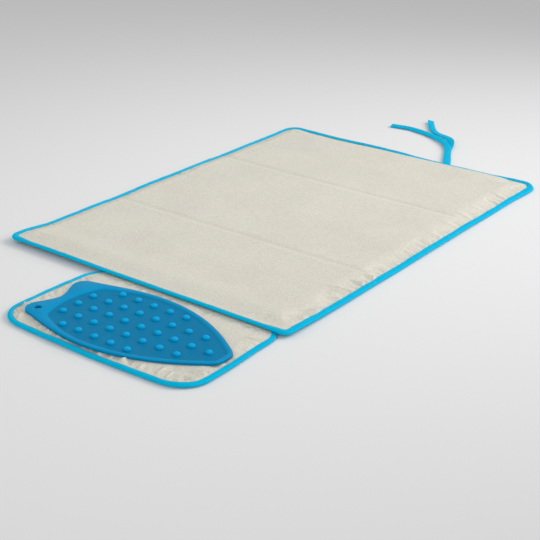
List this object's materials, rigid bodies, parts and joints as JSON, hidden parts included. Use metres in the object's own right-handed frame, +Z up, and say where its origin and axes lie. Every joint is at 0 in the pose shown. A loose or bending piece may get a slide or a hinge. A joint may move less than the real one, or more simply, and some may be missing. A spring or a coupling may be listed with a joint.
{
  "type": "portable ironing pad",
  "caption": "Padded ironing mat with bound edges that folds in three, with a hinged side flap carrying a loose silicone iron rest and a tape tie that holds it shut.",
  "frame": {"origin": "centre of the main panel's underside, on the surface the pad lies on", "axes": "+X along the panel's length from the flap end to the tie end, +Y across it, +Z up out of the ironing face"},
  "size_m": [1.0903, 0.5, 0.0123],
  "materials": {
    "face_cloth": "silver-coated woven cotton, slightly shiny",
    "padding_felt": "needled polyester felt",
    "backing_cloth": "plain woven lining, matt",
    "binding_tape": "folded woven bias tape, matt",
    "tie_tape": "the same tape sewn double, matt",
    "silicone": "moulded silicone, satin"
  },
  "bodies": {
    "middle_section": {"middle_cover": "face_cloth", "middle_padding": "padding_felt", "middle_backing": "backing_cloth", "middle_binding_left": "binding_tape", "middle_binding_right": "binding_tape"},
    "near_section": {"near_cover": "face_cloth", "near_padding": "padding_felt", "near_backing": "backing_cloth", "near_binding": "binding_tape", "flap_seam_allowance": "backing_cloth"},
    "far_section": {"far_cover": "face_cloth", "far_padding": "padding_felt", "far_backing": "backing_cloth", "far_binding": "binding_tape", "tie_fold": "tie_tape", "tie_tail_lower": "tie_tape", "tie_tail_upper": "tie_tape"},
    "flap": {"flap_cover": "face_cloth", "flap_padding": "padding_felt", "flap_backing": "backing_cloth", "flap_binding": "binding_tape"},
    "iron_rest": {"silicone_rest": "silicone"}
  },
  "joints": [
    {"name": "near_fold", "type": "hinge", "parent": "middle_section", "child": "near_section", "pos_m": [-0.13, 0, 0.0105], "axis": [0, 1, 0], "range_deg": [0, 180]},
    {"name": "far_fold", "type": "hinge", "parent": "middle_section", "child": "far_section", "pos_m": [0.13, 0, -0.0003], "axis": [0, 1, 0], "range_deg": [0, 180]},
    {"name": "flap_fold", "type": "hinge", "parent": "near_section", "child": "flap", "pos_m": [-0.35, 0, -0.003], "axis": [0, -1, 0], "range_deg": [0, 180]},
    {"name": "rest_slide", "type": "slide", "parent": "flap", "child": "iron_rest", "axis": [0, 1, 0], "range_m": [0, 0.31]}
  ]
}
